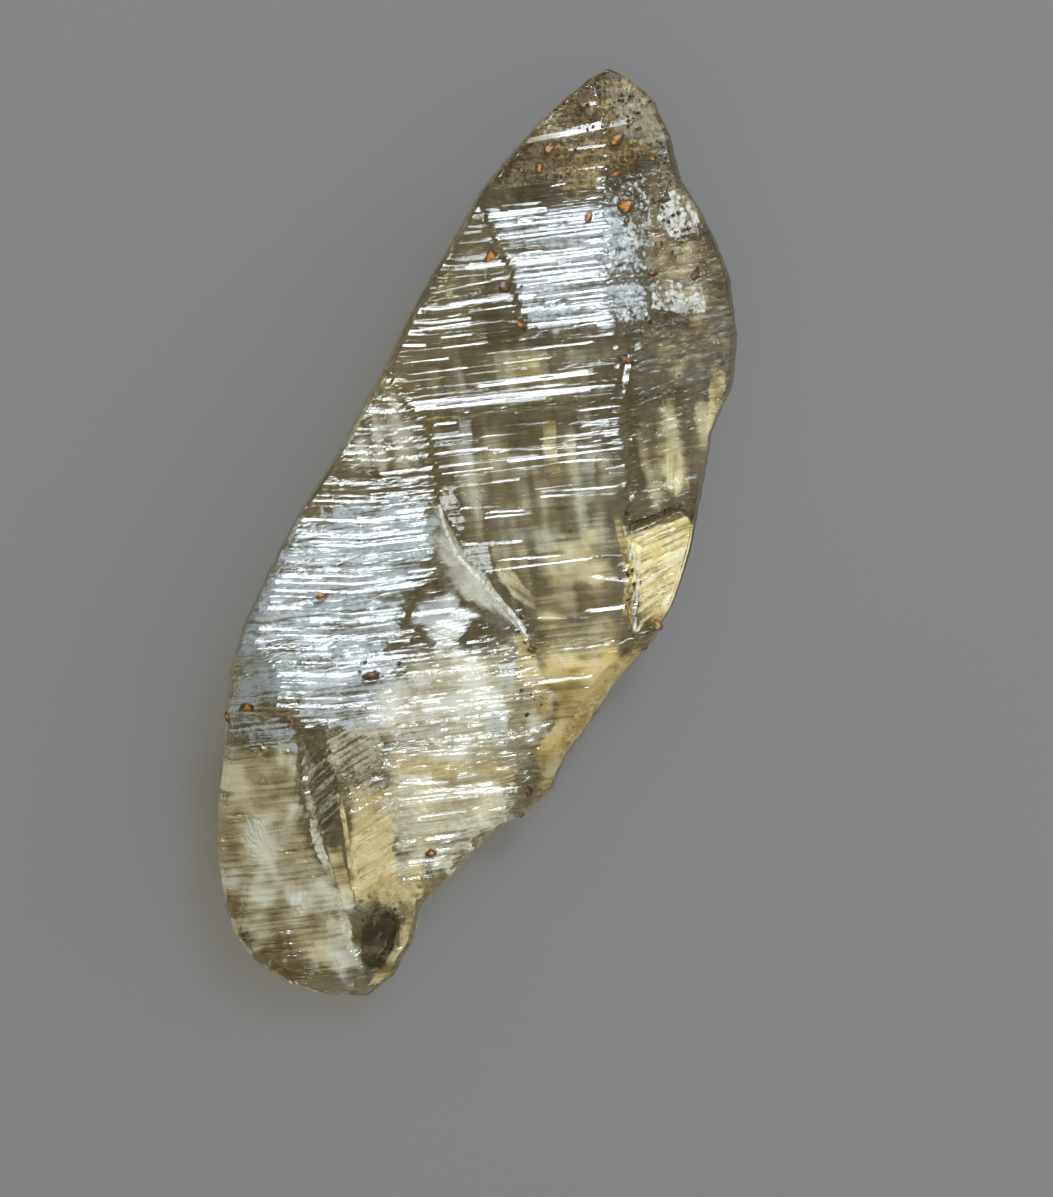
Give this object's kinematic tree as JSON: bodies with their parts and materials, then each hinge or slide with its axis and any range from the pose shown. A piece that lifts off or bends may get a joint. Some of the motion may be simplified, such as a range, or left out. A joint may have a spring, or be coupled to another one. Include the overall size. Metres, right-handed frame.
{
  "type": "quartz crystal",
  "caption": "Natural quartz crystal, clear to smoky with golden iron stain, long and tapered, one striated broad front and a flat back that it lies on.",
  "frame": {"origin": "middle of the crystal's outline seen from above, on the flat back that it lies on", "axes": "+Z out of the striated front, +Y along the crystal from the broken base to the tip, +X to the right seen from the front"},
  "size_m": [0.0242, 0.0564, 0.0112],
  "materials": {
    "quartz": "clear to smoky quartz, see-through, with fine growth lines, frosted and pitted patches and golden iron stain",
    "iron_stain": "thin golden to rust-orange iron oxide film and flakes on and in the quartz"
  },
  "bodies": {
    "root": {"quartz_crystal": "quartz"}
  },
  "joints": []
}
